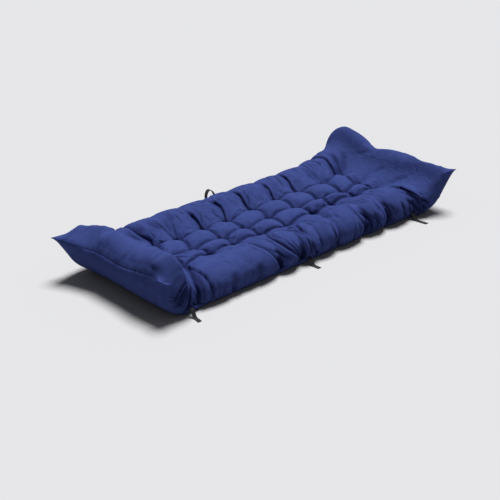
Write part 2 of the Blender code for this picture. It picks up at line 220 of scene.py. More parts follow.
@dataclass(frozen=True)
class CushionForm:
    """The smooth form of the filled cushion, from its sizes as cut."""

    columns: tuple[float, ...] = (
        -0.348, -0.2495, -0.1525, -0.055, 0.0455, 0.1505, 0.2475, 0.3435, 0.4285,
    )
    rows: tuple[float, ...] = (-0.068, 0.002, 0.076)
    tufts_mm: tuple[tuple[tuple[int, int], ...], ...] = (
        ((-349, -67), (-241, -53), (-147, -54), (-48, -60), (51, -71),
         (167, -61), (256, -52), (349, -66), (434, -67)),
        ((-355, 10), (-261, -3), (-148, -5), (-54, 0), (49, 10), (153, 1), (250, -4), (341, -20), (424, -3)),
        ((-328, 88), (-247, 77), (-147, 80), (-58, 75), (52, 87),
         (153, 88), (244, 80), (347, 72), (434, 86)),
    )
    pits: tuple[float, ...] = (0.047, 0.040, 0.047)
    seam_half_depth: float = 0.204
    seam_height: float = 0.020
    side_waist: float = 0.045
    side_crest: float = 0.154
    under_roll: float = 0.026
    field_crown: float = 0.079
    crease_scallop: float = 0.014
    seam_scallop: float = 0.004
    ear_start: float = 0.08
    ear_thinning: float = 20.0
    ear_spread: float = 1.15
    ear_edge: float = 3.0
    ear_filling: float = 0.9
    ear_rise: float = 1.4
    taper_start: float = 0.3
    end_pit_lifts: tuple[float, float] = (0.014, 0.004)
    flare_reach: float = 0.06
    crease_power: float = 0.60
    shoulder_power: float = 0.75
    field_share: float = 0.50
    border_share: float = 0.40
    pad_share: float = 0.86
    uneven: float = 0.05
    bow: float = 0.0045
    luck_seed: int = 7
    stray_seed: int = 5
    swell_bulge: float = 0.6
    borders: dict[Side, Border] = field(default_factory=lambda: {
        Side.FRONT: Border(0.013, 0.100, (
            Crease(-0.060, 1.00), Crease(0.010, 0.20), Crease(0.050, 1.00), Crease(0.045, 0.80),
            Crease(0.010, 0.50), Crease(-0.014, 0.90), Crease(0.010, 1.00), Crease(0.006, 0.80),
            Crease(0.030, 0.40),
        )),
        Side.BACK: Border(0.020, 0.099, (
            Crease(-0.045, 0.90), Crease(-0.006, 0.80), Crease(0.000, 0.70), Crease(0.004, 0.80),
            Crease(0.000, 0.90), Crease(0.006, 0.80), Crease(0.000, 0.90), Crease(0.004, 0.70),
            Crease(-0.020, 1.00),
        ), swell=(
            (-0.60, 0.000), (-0.50, 0.018), (-0.43, 0.028), (-0.36, 0.008), (-0.24, 0.010), (-0.10, 0.005),
            (0.05, 0.000), (0.20, -0.006), (0.36, -0.007), (0.44, 0.004), (0.50, 0.018), (0.60, 0.000),
        ), crest_share=0.35),
    })
    ends: dict[End, PadEnd] = field(default_factory=lambda: {
        End.LEFT: PadEnd(
            length=0.262, crown=0.108, crest=0.13, roll=0.095, waist=0.060, seam_height=0.012,
            under_roll=0.040, bend_corner=-0.521, bend_angle=math.radians(74),
            under_radius=0.110, top_radius=0.130,
        ),
        End.RIGHT: PadEnd(
            length=0.231, crown=0.075, crest=0.10, roll=0.055, waist=0.045, seam_height=0.010,
            under_roll=0.040, bend_corner=0.551, bend_angle=math.radians(62),
            under_radius=0.085, top_radius=0.170,
        ),
    })
    ears: dict[tuple[End, Side], Ear] = field(default_factory=lambda: {
        (End.LEFT, Side.FRONT): Ear(0.024, 0.000, -0.018, 0.004),
        (End.LEFT, Side.BACK): Ear(0.036, 0.013, 0.039, 0.002, taper=0.60),
        (End.RIGHT, Side.FRONT): Ear(0.032, 0.026, -0.010, 0.014, taper=0.45),
        (End.RIGHT, Side.BACK): Ear(0.016, 0.022, 0.000, 0.024),
    })
    waves: tuple[Wave, ...] = (
        Wave(End.RIGHT, 0.040, 0.045, -0.024),
        Wave(End.RIGHT, -0.030, 0.050, -0.007),
        Wave(End.RIGHT, -0.130, 0.040, -0.006),
        Wave(End.LEFT, 0.055, 0.075, 0.012),
        Wave(End.LEFT, -0.100, 0.070, 0.018),
    )
    cells_between_columns: int = 18
    cells_on_pad: int = 30
    cells_on_end_roll: int = 12
    cells_between_rows: int = 14
    cells_to_crest: int = 16
    cells_on_side_roll: int = 14
    cells_under_roll: int = 5

    @property
    def tufts(self) -> Array:
        """The tufts' places in metres, by row, column and axis."""
        return np.array(self.tufts_mm) / 1000

    @property
    def side_rim_angle(self) -> float:
        """The angle of a side's roll at which the seam lies."""
        return -math.asin(1.0 - self.seam_height / self.side_waist)

    def stations(self) -> list[Array]:
        """The places along the cushion.

        Returns:
            s of the top, of the underside and of the rim, and the roll's angle on the top and
            on the underside: a quarter turn up to where it starts, and its rim angle on the rim.
        """
        lanes: list[list[Array]] = [[] for _ in range(5)]
        cells = self.cells_on_pad
        for end, pad in self.ends.items():
            side = end.value
            column = self.columns[0] if side < 0 else self.columns[-1]
            seam = column + side * pad.length
            lanes[2].append(np.linspace(column, seam, cells + self.cells_on_end_roll + 1)[1:][::side])
            for index, roll, first in ((0, pad.roll, QUARTER), (1, pad.under_roll, -QUARTER)):
                start = seam - side * roll * math.cos(pad.rim_angle)
                angles = np.linspace(first, pad.rim_angle, self.cells_on_end_roll + 1)[1:]
                flat = np.linspace(column, start, cells + 1)[1:]
                lanes[index].append(np.append(flat, start + side * roll * np.cos(angles))[::side])
                lanes[3 + index].append(np.append(np.full(cells, first), angles)[::side])
        middle = np.concatenate([
            np.linspace(left, right, self.cells_between_columns + 1)[:-1]
            for left, right in zip(self.columns, self.columns[1:])
        ] + [self.columns[-1:]])
        still = np.full(len(middle), QUARTER)
        centres = (middle, middle, middle, still, -still)
        return [np.concatenate([lane[0], centre, lane[1]]) for lane, centre in zip(lanes, centres)]

    def lines_across(self) -> tuple[list[Array], list[Array]]:
        """The lines across the cushion, from the front rim.

        Returns:
            Shares of the rim's half depth, for the top, the underside and the rim of an end;
            and the roll's angles on the top and on the underside.
        """
        half = self.seam_half_depth
        outer = self.side_crest / half
        angles = np.linspace(self.side_rim_angle, QUARTER, self.cells_on_side_roll + 1)
        rounded = outer + (1.0 - outer) * np.where(angles > 0, np.cos(angles), 1.0)
        low_angles = np.linspace(self.side_rim_angle, -QUARTER, self.cells_under_roll + 1)
        low_start = 1.0 - self.under_roll * math.cos(self.side_rim_angle) / half
        low = low_start + self.under_roll * np.cos(low_angles) / half
        shares: list[list[Array]] = [[], [], []]
        turns: list[list[Array]] = [[], []]
        for side, row in ((-1, self.rows[0]), (1, self.rows[-1])):
            row_share = abs(row) / half
            inner = np.linspace(outer, row_share, self.cells_to_crest + 1)[1:]
            plain = np.linspace(1.0, outer, self.cells_on_side_roll + 1)
            rest = self.cells_on_side_roll + self.cells_to_crest - self.cells_under_roll
            under_inner = np.linspace(low_start, row_share, rest + 1)[1:]
            own = (np.append(rounded, inner), np.append(low, under_inner), np.append(plain, inner))
            for lane, values in zip(shares, own):
                lane.append(side * values[::-side])
            turns[0].append(np.append(angles, np.full(self.cells_to_crest, QUARTER))[::-side])
            turns[1].append(np.append(low_angles, np.full(rest, -QUARTER))[::-side])
        middle = np.concatenate([
            np.linspace(low_row, high_row, self.cells_between_rows + 1)[1:]
            for low_row, high_row in zip(self.rows, self.rows[1:])
        ])[:-1] / half
        still = np.full(len(middle), QUARTER)
        return (
            [np.concatenate([lane[0], middle, lane[1]]) for lane in shares],
            [np.concatenate([lane[0], part, lane[1]]) for lane, part in zip(turns, (still, -still))],
        )

    def past_columns(self, s: Array) -> Array:
        """How far each place lies beyond the first or the last tuft column."""
        return np.maximum(np.maximum(self.columns[0] - s, s - self.columns[-1]), 0.0)

    def past_rows(self, y: Array) -> Array:
        """How far each place lies beyond the front or the back tuft row."""
        return np.maximum(np.maximum(self.rows[0] - y, y - self.rows[-1]), 0.0)

    def puff(self, place: Array, lines: tuple[float, ...], past: Array, crest: Array) -> Array:
        """How far a place is puffed up between the tuft lines.

        Args:
            place: Places along or across the cushion.
            lines: The tuft lines that they lie between.
            past: How far each place lies beyond the outer lines.
            crest: How far beyond them the crown is reached.

        Returns:
            0 on each line, 1 between two of them and again at the crest beyond the outer ones.
        """
        inside = np.abs(np.sin(math.pi * counted(place, lines))) ** self.crease_power
        beyond = np.sin(QUARTER * np.minimum(past / crest, 1.0)) ** self.shoulder_power
        return np.where(past > 0.0, beyond, inside)

    def by_end(self, s: Array, key: str) -> Array:
        """A size of the nearer end, for places along the cushion."""
        return np.where(s < 0, getattr(self.ends[End.LEFT], key), getattr(self.ends[End.RIGHT], key))

    def by_side(self, share: Array, key: str) -> Array:
        """A size of the nearer border, for places across the cushion."""
        front, back = self.borders[Side.FRONT], self.borders[Side.BACK]
        return np.where(share < 0, getattr(front, key), getattr(back, key))

    def swell(self, s: Array, share: Array) -> Array:
        """How much fuller the nearer border is than its crown says, for places along the cushion."""
        runs = [np.interp(s, *np.array(self.borders[side].swell).T) for side in Side]
        return np.where(share < 0, runs[0], runs[1])

    def by_crease(self, s: Array, share: Array, key: str) -> Array:
        """A lean or a depth, run on between the creases of the nearer border."""
        runs = [
            np.interp(s, self.columns, [getattr(crease, key) for crease in self.borders[side].creases])
            for side in Side
        ]
        return np.where(share < 0, runs[0], runs[1])

    def corner_reach(self, s: Array, share: Array) -> tuple[Array, Array]:
        """From 0 to 1, how near a place is to the cushion's corner, along it and across it."""
        length = self.by_end(s, "length")
        along = np.clip((self.past_columns(s) - self.ear_start) / (length - self.ear_start), 0.0, 1.0)
        start = self.ear_start / self.seam_half_depth
        return along, np.clip((np.abs(share) - start) / (1.0 - start), 0.0, 1.0)

    def by_corner(self, s: Array, share: Array, key: str) -> Array:
        """A size of the nearest corner's ear."""
        found = np.zeros(np.broadcast(s, share).shape)
        for (end, side), ear in self.ears.items():
            own = (np.sign(s) == end.value) & (np.sign(share) == side.value)
            found = np.where(own, getattr(ear, key), found)
        return found

    def drawn(self, s: Array, share: Array) -> tuple[Array, Array, Array]:
        """How far the ears, the flare and the end's waves draw a place out.

        Returns:
            How far along the cushion, across it to its own side, and outward from the top.
        """
        along, across = self.corner_reach(s, share)
        near = (along * across) ** self.ear_spread
        past = self.past_columns(s)
        flare = self.by_corner(s, share, "flare") * np.abs(share) * smooth(past / self.flare_reach)
        moved = np.zeros(near.shape)
        for wave in self.waves:
            close = bell(share * self.seam_half_depth - wave.y, wave.reach)
            moved = moved + np.where(np.sign(s) == wave.end.value, wave.along * close, 0.0)
        moved = moved * (past / self.by_end(s, "length")) ** 2
        return (
            np.sign(s) * (near * self.by_corner(s, share, "along") + moved),
            near * self.by_corner(s, share, "across") + flare,
            near * self.by_corner(s, share, "outward"),
        )

    def strayed(self, s: Array, y: Array) -> tuple[Array, Array]:
        """How far each place strays along and across, because the tufts don't lie on even lines."""
        u, v = np.broadcast_arrays(counted(s, self.columns), counted(y, self.rows))
        off_x = self.tufts[..., 0] - np.array(self.columns)
        off_y = self.tufts[..., 1] - np.array(self.rows)[:, None]
        draw = np.random.default_rng(self.stray_seed)
        bows_x = draw.uniform(-self.bow, self.bow, (len(self.rows) - 1, len(self.columns)))
        bows_y = draw.uniform(-self.bow, self.bow, (len(self.rows), len(self.columns) - 1))
        left = np.minimum(u.astype(int), len(self.columns) - 2)
        low = np.minimum(v.astype(int), len(self.rows) - 2)
        bow_x = mix(bows_x[low, left], bows_x[low, left + 1], smooth(u - left))
        bow_y = mix(bows_y[low, left], bows_y[low + 1, left], smooth(v - low))
        return (
            between(off_x, u, v) + np.sin(math.pi * (v - low)) * bow_x,
            between(off_y, u, v) + np.sin(math.pi * (u - left)) * bow_y,
        )

    def bent(self, s: Array, n: Array, slack: Values) -> tuple[Array, Array]:
        """Turns the ends up.

        Args:
            s: Places along the cushion as cut.
            n: Heights over its underside.
            slack: 0 for the underside's tight bend and 1 for the top's slack one.

        Returns:
            x and z in the upright plane.
        """
        x, z = np.array(s, float), np.array(n, float)
        for end, pad in self.ends.items():
            side, angle = end.value, pad.bend_angle
            radius = mix(pad.under_radius, pad.top_radius, slack)
            start = pad.bend_corner - side * radius * math.tan(angle / 2)
            past = side * (s - start)
            turn = np.clip(past / radius, 0.0, angle)
            straight = np.maximum(past - radius * angle, 0.0)
            out = radius * np.sin(turn) + straight * math.cos(angle) - n * np.sin(turn)
            up = radius * (1.0 - np.cos(turn)) + straight * math.sin(angle) + n * np.cos(turn)
            x = np.where(past > 0.0, start + side * out, x)
            z = np.where(past > 0.0, up, z)
        return x, z

    def panels(self) -> tuple[Panel, Panel]:
        """The top's and the underside's panels, which meet on the rim."""
        top_s, under_s, rim_s, roll, under_roll = (lane[:, None] for lane in self.stations())
        (top_share, under_share, end_share), (turn, under_turn) = self.lines_across()
        half = self.seam_half_depth
        back = top_share > 0
        rim_angle = np.where(rim_s < 0, self.ends[End.LEFT].rim_angle, self.ends[End.RIGHT].rim_angle)
        to_rim = smooth((QUARTER - turn) / (QUARTER - self.side_rim_angle))
        to_end = smooth((QUARTER - roll) / (QUARTER - rim_angle))
        under_to_rim = below(under_turn) / below(self.side_rim_angle)
        under_to_end = below(under_roll) / below(rim_angle)

        # Zones: 0 on the tuft field, 1 on a border or a pad
        crest = self.side_crest - abs(self.rows[0])
        row_y = top_share * half
        border = smooth(self.past_rows(row_y) / crest)
        pad_crest = self.by_end(rim_s, "crest")
        pad = smooth(self.past_columns(rim_s) / pad_crest)
        along = self.puff(rim_s, self.columns, self.past_columns(rim_s), pad_crest)
        depth = mix(1.0, self.by_crease(rim_s, top_share, "depth"), border)
        depth = depth * mix(1.0, self.by_side(top_share, "crest_share"), border**2)
        along = 1.0 - depth * (1.0 - along)
        across = self.puff(row_y, self.rows, self.past_rows(row_y), crest)
        share = (
            self.field_share * (1 - border) * (1 - pad)
            + self.border_share * border * (1 - pad)
            + self.pad_share * (1 - border) * pad
            + self.field_share * border * pad
        )
        puffed = np.sqrt(share * along**2 + (1.0 - share) * across**2)
        ends = (self.columns[0], self.columns[1], self.columns[-2], self.columns[-1])
        lifts = np.interp(rim_s, ends, (self.end_pit_lifts[0], 0.0, 0.0, self.end_pit_lifts[1]))
        pits = np.interp(row_y, self.rows, self.pits) + lifts
        swell = self.swell(rim_s, top_share) * (1.0 - pad)
        side_crown = self.by_side(top_share, "crown") + swell
        near_along, near_across = self.corner_reach(rim_s, top_share)
        off_middle = smooth((np.abs(top_share) - self.taper_start) / (1.0 - self.taper_start))
        taper = self.by_corner(rim_s, top_share, "taper") * off_middle * near_along
        pad_crown = self.by_end(rim_s, "crown") * (1.0 - taper)
        pad_crown = pad_crown + self.swell(rim_s, top_share) * border
        crown = mix(mix(self.field_crown, side_crown, border), pad_crown, pad)
        crown = crown * (1.0 + self.uneven * self.luck(rim_s, row_y))
        crown = pits + (crown - pits) * puffed

        # Heights of the top, thinned towards each corner's ear
        waist = mix(self.side_waist, self.by_end(rim_s, "waist") * (1.0 - taper), pad)
        fullness = 1.0 - (near_along * near_across) ** self.ear_thinning
        near = np.sqrt(near_along * near_across)
        rise = self.ear_rise * self.by_corner(rim_s, top_share, "taper") * near
        side_angle = self.hurried(turn, self.side_rim_angle, rise)
        end_angle = self.hurried(roll, rim_angle, rise)
        filled = (above(side_angle) * above(end_angle)) ** (1.0 - self.ear_filling * near)
        top_n = (waist * below(side_angle) * below(end_angle) + (crown - waist) * filled) * fullness

        # Places of the top: the sides bulge over the rim and are drawn in at the creases
        dent = (1.0 - along) * border
        lean = self.by_crease(rim_s, top_share, "lean") * border * (1.0 - pad)
        stray_x, stray_y = self.strayed(rim_s, row_y)
        fade = (1.0 - border) * (1.0 - pad)
        rim_y = half - self.seam_scallop * (1.0 - along[:, [0, -1]])
        half_depth = np.where(back, rim_y[:, 1:], rim_y[:, :1])
        rim_cos = math.cos(self.side_rim_angle)
        over = np.where(turn > 0, np.cos(turn), (np.cos(turn) - rim_cos) / (1 - rim_cos))
        bulge = self.by_side(top_share, "bulge") + self.swell_bulge * swell - self.crease_scallop * dent
        over = over * bulge * (1.0 - near_along)
        top_flat = mix(top_share, end_share, to_end)
        out_along, out_across, outward = self.drawn(rim_s, top_flat)
        top_y = top_flat * half_depth + np.sign(top_share) * (over + out_across) + stray_y * fade
        top_along = mix(top_s, rim_s, np.maximum(to_rim, taper)) + lean + out_along + stray_x * fade

        # The underside: flat, and rolled up to meet the top on the rim
        under_flat = mix(under_share, end_share, under_to_end)
        low_along, low_across, low_outward = self.drawn(rim_s, under_flat)
        under_y = under_flat * half_depth + np.sign(under_share) * low_across
        edge_lean = np.where(back, lean[:, -1:], lean[:, :1])
        under_along = mix(under_s, rim_s, under_to_rim) + low_along + edge_lean * under_to_rim
        side_rim = np.where(back, top_n[:, -1:], top_n[:, :1])
        end_rim = np.where(rim_s < 0, top_n[:1], top_n[-1:])
        corner = np.where(rim_s < 0, side_rim[:1], side_rim[-1:])
        under_n = side_rim * under_to_rim + end_rim * under_to_end - corner * under_to_rim * under_to_end

        slack = (1.0 - to_rim) * (1.0 - to_end)
        top_n = top_n - outward * np.maximum(to_rim, to_end) ** self.ear_edge
        return (
            self.laid(top_along, top_y, top_n, slack),
            self.laid(under_along, under_y, under_n - low_outward, 0.0),
        )

    def hurried(self, angle: Array, rim_angle: Values, rise: Array) -> Array:
        """A roll's angles, which rise sooner towards a thin ear, so that it is a full wedge."""
        whole = QUARTER - rim_angle
        return rim_angle + whole * np.clip((angle - rim_angle) / whole, 0.0, 1.0) ** (1.0 - rise)

    def luck(self, s: Array, y: Array) -> Array:
        """How much more or less each puff is filled, from -1 to 1, run on between the puffs."""
        draw = np.random.default_rng(self.luck_seed)
        table = draw.uniform(-1.0, 1.0, (len(self.rows) + 1, len(self.columns) + 1))
        u, v = np.broadcast_arrays(counted(s, self.columns), counted(y, self.rows))
        return between(table, u + 0.5, v + 0.5)

    def laid(self, s: Array, y: Array, n: Array, slack: Values) -> Panel:
        """A panel with its ends turned up, in the frame, and its sheet coordinates."""
        x, z = self.bent(s, n, slack)
        points = np.stack([x + CENTRE[0], y + CENTRE[1], z], axis=-1)
        ahead = lengths(points, 1)
        middle = points.shape[1] // 2
        width = ahead - ahead[:, middle:middle + 1]
        return Panel(points, np.stack([s + 0.0 * width, width], axis=-1))


@dataclass(frozen=True)
class FoldShape:
    """The section of a fold: its depth and width, its lips' height, its overlap and its edge.

    An edge of 2 gives a soft trough, and one near 1 a sharp crease.
    """

    depth: float
    width: float
    lip: float
    over: float
    edge: float


class FoldKind(Enum):
    """The kinds of fold in the filled cloth."""

    LAP = FoldShape(0.0120, 0.0052, 0.25, 0.0070, 1.25)
    SHARP = FoldShape(0.0092, 0.0036, 0.25, 0.0040, 1.15)
    GATHER = FoldShape(0.0048, 0.0027, 0.30, 0.0, 1.25)
    SOFT = FoldShape(0.0034, 0.0105, 0.20, 0.0, 2.0)
    WRINKLE = FoldShape(0.0010, 0.0040, 0.50, 0.0, 1.5)


class Deep(Enum):
    """Which ends of a fold keep its full depth, as at a tuft or the seam. The others taper off."""

    NEITHER = (False, False)
    START = (True, False)
    END = (False, True)
    BOTH = (True, True)


@dataclass(frozen=True)
class Fold:
    """A fold along a path in sheet coordinates.

    The lap is the side of the path that lies over the fold: 1 for its left and -1 for its right.
    """

    kind: FoldKind
    deep: Deep
    path: Array
    lap: float = 0.0
    strength: float = 1.0


def folds(
    kind: FoldKind, deep: Deep, *paths: tuple[int, ...], lap: float = 0.0, strength: float = 1.0
) -> list[Fold]:
    """Folds of one kind, each along a path that is given as s and w in turn, in millimetres."""
    return [Fold(kind, deep, np.array(path).reshape(-1, 2) / 1000, lap, strength) for path in paths]


LAP, SHARP, GATHER, SOFT, WRINKLE = FoldKind
NEITHER, START, END, BOTH = Deep
PLACED_FOLDS = (
    # From the last front tuft, where the right end turns up over the front border
    *folds(LAP, BOTH, (434, -94, 432, -130, 436, -160, 453, -186, 492, -217, 520, -241, 532, -268),
           lap=1, strength=0.8),
    *folds(GATHER, END, (417, -208, 440, -235, 478, -281), (442, -215, 480, -255, 505, -286),
           (472, -230, 500, -247, 516, -275), (436, -242, 453, -280), (400, -210, 410, -240, 433, -286)),
    *folds(GATHER, NEITHER, (423, -180, 436, -202, 461, -226, 492, -250)),
    # Down the front border, from right to left
    *folds(SHARP, BOTH, (349, -78, 340, -150, 340, -207, 352, -249, 348, -285), strength=0.9),
    *folds(GATHER, NEITHER, (321, -176, 341, -190, 355, -221, 365, -250),
           (303, -179, 310, -199, 310, -225), (-143, -189, -117, -213, -93, -239, -60, -275)),
    *folds(SHARP, BOTH, (256, -80, 232, -140, 222, -181, 227, -208, 231, -230, 248, -258, 256, -288),
           lap=-1, strength=1.2),
    *folds(SHARP, END, (240, -180, 246, -201, 261, -233, 268, -250, 279, -285), lap=-1),
    *folds(GATHER, END, (212, -221, 216, -244, 229, -283), (5, -210, 9, -237, 14, -286),
           (-69, -185, -62, -217, -44, -247, -9, -288), (-45, -196, -43, -225, -26, -252, -6, -287),
           (-127, -229, -100, -261, -90, -288)),
    *folds(SHARP, END, (128, -190, 117, -226, 118, -253, 140, -292), strength=1.1),
    *folds(SOFT, START, (167, -93, 145, -150, 128, -195)),
    *folds(SOFT, NEITHER, (97, -164, 141, -180, 141, -202)),
    *folds(SHARP, START, (51, -107, 20, -150, 10, -188, 15, -205, 19, -225), strength=0.8),
    *folds(SHARP, END, (14, -230, 23, -255, 49, -292), strength=0.8),
    *folds(SHARP, BOTH, (-48, -87, -85, -140, -91, -173, -86, -199, -74, -228, -51, -258, -15, -286),
           lap=-1),
    *folds(SHARP, END, (-9, -212, -19, -232, -12, -262, -6, -289)),
    *folds(LAP, BOTH, (-147, -76, -164, -120, -166, -152, -160, -172,
            -152, -189, -136, -211, -125, -232, -100, -272, -94, -290), lap=-1),
    *folds(SOFT, END, (-199, -229, -191, -249, -180, -285), (-280, -223, -286, -246, -281, -285)),
    # Round the first front tuft, where the left end turns up
    *folds(SHARP, BOTH, (-349, -101, -372, -150, -378, -185, -371, -209, -366, -250, -357, -288),
           lap=1),
    *folds(GATHER, END, (-384, -167, -393, -216, -393, -244, -391, -282),
           (-360, -100, -450, -160, -486, -205, -480, -240, -462, -280),
           (-400, -120, -500, -170, -525, -219, -500, -270),
           (-606, -209, -594, -224, -567, -256, -535, -284)),
    *folds(SHARP, BOTH, (-349, -101, -385, -160, -403, -220, -406, -257, -407, -300)),
    *folds(SHARP, END, (-410, -105, -520, -140, -577, -175, -555, -207, -537, -238, -512, -280),
           strength=1.1),
    *folds(SHARP, END, (-560, -155, -605, -180, -593, -202, -574, -231, -543, -270)),
    # Between the left end and the back border, and along the first field puffs
    *folds(LAP, BOTH, (-362, 240, -360, 210, -357, 177, -349, 150, -328, 106), lap=-1, strength=0.9),
    *folds(SOFT, NEITHER, (-290, 201, -296, 167, -282, 142, -273, 121),
           (-351, 196, -341, 171, -328, 140), (-326, 3, -312, -24, -299, -48)),
    *folds(GATHER, NEITHER, (-349, -26, -330, -41, -313, -63)),
    # Down the back border, from left to right
    *folds(SHARP, START, (-247, 100, -252, 120, -262, 145, -280, 175), lap=-1, strength=0.55),
    *folds(GATHER, START, (-247, 100, -236, 125, -228, 150), (-147, 104, -130, 122, -118, 145),
           (52, 98, 66, 118, 78, 140), (347, 98, 338, 120, 322, 145), strength=0.7),
    *folds(SOFT, NEITHER, (-215, 195, -225, 160, -222, 135), (332, 200, 337, 159, 329, 119)),
    *folds(SHARP, START, (-147, 104, -143, 128, -146, 152, -158, 185, -165, 205), lap=-1,
           strength=0.75),
    *folds(GATHER, NEITHER, (-196, 200, -182, 172, -178, 145), (-85, 205, -88, 180, -78, 158),
           (130, 215, 120, 185, 122, 160), strength=0.8),
    *folds(SHARP, START, (-58, 95, -44, 116, -40, 140, -48, 172, -66, 205),
           (52, 98, 50, 125, 54, 150, 46, 184, 30, 215), lap=-1, strength=0.9),
    *folds(GATHER, NEITHER, (-66, 215, -70, 185, -66, 160), (158, 225, 140, 190, 138, 155),
           (226, 205, 219, 171, 214, 140, 206, 120), (378, 200, 392, 170, 404, 145)),
    *folds(GATHER, START, (-58, 95, -76, 110, -88, 128), strength=0.6),
    *folds(GATHER, NEITHER, (4, 205, 8, 175, 0, 150), (205, 210, 195, 180, 194, 150), strength=0.7),
    *folds(SHARP, START, (153, 108, 160, 128, 163, 150, 156, 180, 146, 205), lap=-1, strength=0.65),
    *folds(SHARP, START, (244, 106, 246, 135, 252, 160, 250, 190, 242, 220), lap=-1, strength=0.8),
    *folds(LAP, BOTH, (434, 110, 440, 138, 441, 165, 436, 204, 425, 245), lap=-1, strength=0.8),
    # Over the face of the right end
    *folds(SOFT, START, (434, 114, 455, 110, 490, 112, 537, 125, 578, 146),
           (434, 114, 470, 130, 505, 152, 523, 179)),
    *folds(SOFT, NEITHER, (575, 90, 600, 78, 625, 60, 645, 35), strength=0.5),
    *folds(SOFT, NEITHER, (500, -10, 530, -19, 555, -26, 589, -43), strength=0.6),
    *folds(SOFT, NEITHER, (470, -85, 505, -97, 542, -107, 589, -138), strength=0.7),
    *folds(SOFT, START, (424, 0, 440, 30, 448, 55), strength=0.8),
)


class NodeGraph:
    """The shader nodes of a material in the making."""

    def __init__(self, name: str) -> None:
        """Starts the material, with the piece's own sheet map as the place that patterns read."""
        self.material = bpy.data.materials.new(name)
        self.material.use_nodes = True
        self.shader = self.material.node_tree.nodes["Principled BSDF"]
        self.place = self.add("UVMap", {}, uv_map="sheet").outputs["UV"]

    def add(self, kind: str, inputs: dict[str | int, object], **settings: str) -> bpy.types.Node:
        """Adds a node with its settings, and feeds its inputs."""
        node = self.material.node_tree.nodes.new("ShaderNode" + kind)
        for key, value in settings.items():
            setattr(node, key, value)
        self.feed(node, inputs)
        return node

    def feed(self, node: bpy.types.Node, inputs: dict[str | int, object]) -> None:
        """Links an input to each output given, and sets it to any other value."""
        for key, value in inputs.items():
            if isinstance(value, Socket):
                self.material.node_tree.links.new(value, node.inputs[key])
            else:
                node.inputs[key].default_value = value

    def ribs(self, direction: str, pitch: float, distortion: float) -> Socket:
        """Even ribs across a direction of the sheet, one to each pitch."""
        band = self.add("TexWave", {
            "Scale": math.pi / 10 / pitch, "Distortion": distortion, "Vector": self.place,
        }, bands_direction=direction)
        return band.outputs["Fac"]

    def bump(self, strength: float, distance: float, height: Socket, under: Socket | None = None) -> Socket:
        """A relief from a height, over another one where it is given."""
        inputs = {"Strength": strength, "Distance": distance, "Height": height}
        if under:
            inputs["Normal"] = under
        return self.add("Bump", inputs).outputs["Normal"]


@dataclass(frozen=True)
class ClothFinish:
    """A close matt plain weave, with painted shade that darkens it in its folds and along its seam."""

    name: str = "navy_cloth"
    colour: Triple = (0.031, 0.046, 0.162)
    shade: Triple = (0.023, 0.035, 0.130)
    # The very dark navy of the painted shade in the folds and along the seam.
    deep: Triple = (0.004, 0.006, 0.038)
    roughness: float = 0.90
    sheen: float = 0.06
    sheen_tint: Triple = (0.15, 0.25, 0.95)
    pitch: float = 0.0011
    weave_height: float = 0.00014
    mottle_span: tuple[float, float] = (0.30, 0.72)
    streak_size: float = 0.010
    streak_run: float = 0.22
    streak_height: float = 0.0008
    crumple_size: float = 0.022
    crumple_height: float = 0.0017
    # The width over which painted shade darkens the cloth beside the seam, in its groove.
    seam_shade_width: float = 0.0022

    def build(self) -> bpy.types.Material:
        """Makes the material, which reads the piece's UV map in metres, and its own attributes."""
        graph = NodeGraph(self.name)
        graph.feed(graph.shader, {
            "Roughness": self.roughness, "Sheen Weight": self.sheen, "Sheen Roughness": 0.5,
            "Sheen Tint": (*self.sheen_tint, 1.0), "Specular IOR Level": 0.06,
            "Base Color": self.colouring(graph), "Normal": self.relief(graph),
        })
        return graph.material

    def colouring(self, graph: NodeGraph) -> Socket:
        """The cloth's colour: a soft random mottle, with painted shade that darkens it in the folds and
        along the seam's groove.
        """
        mottle = graph.add("TexNoise", {
            "Scale": 45.0, "Detail": 7.0, "Roughness": 0.6, "Vector": graph.place,
        })
        ramp = graph.add("ValToRGB", {"Fac": mottle.outputs["Fac"]})
        stops = zip(self.mottle_span, (self.shade, self.colour))
        for element, (place, colour) in zip(ramp.color_ramp.elements, stops):
            element.position, element.color = place, (*colour, 1.0)
        last = ramp.outputs["Color"]
        # Painted shade: the colour is mixed towards the very dark navy deep in the folds and close to the
        # seam, where shade falls.
        for name, low, high, first, then in (
            ("fold", 0.05, 0.90, 0.0, 0.85), ("seam", 0.0, self.seam_shade_width, 0.6, 0.0),
        ):
            lane = graph.add("Attribute", {}, attribute_name=name)
            span = graph.add("MapRange", {
                "From Min": low, "From Max": high, "To Min": first, "To Max": then,
                "Value": lane.outputs["Fac"],
            })
            blend = graph.add("Mix", {
                "Factor": span.outputs["Result"], "A": last, "B": (*self.deep, 1.0),
            }, data_type="RGBA")
            last = blend.outputs["Result"]
        return last

    def relief(self, graph: NodeGraph) -> Socket:
        """The cloth's fine relief: drawn streaks, soft crumples, and a plain weave over them."""
        threads = [graph.ribs(direction, self.pitch, 0.6) for direction in ("X", "Y")]
        weave = graph.add("Math", dict(enumerate(threads)), operation="MAXIMUM")
        drawn = graph.add("Mapping", {
            "Scale": (1.0 / self.streak_size, self.streak_run / self.streak_size, 1.0),
            "Vector": graph.place,
        })
        streaks = graph.add("TexNoise", {
            "Scale": 1.0, "Detail": 3.0, "Distortion": 0.6, "Vector": drawn.outputs["Vector"],
        })
        crumple = graph.add("TexNoise", {
            "Scale": 1.0 / self.crumple_size, "Detail": 4.0, "Roughness": 0.5, "Distortion": 0.8,
            "Vector": graph.place,
        })
        pulled = graph.bump(0.5, self.streak_height, streaks.outputs["Fac"])
        soft = graph.bump(0.6, self.crumple_height, crumple.outputs["Fac"], pulled)
        return graph.bump(0.4, self.weave_height, weave.outputs["Value"], soft)


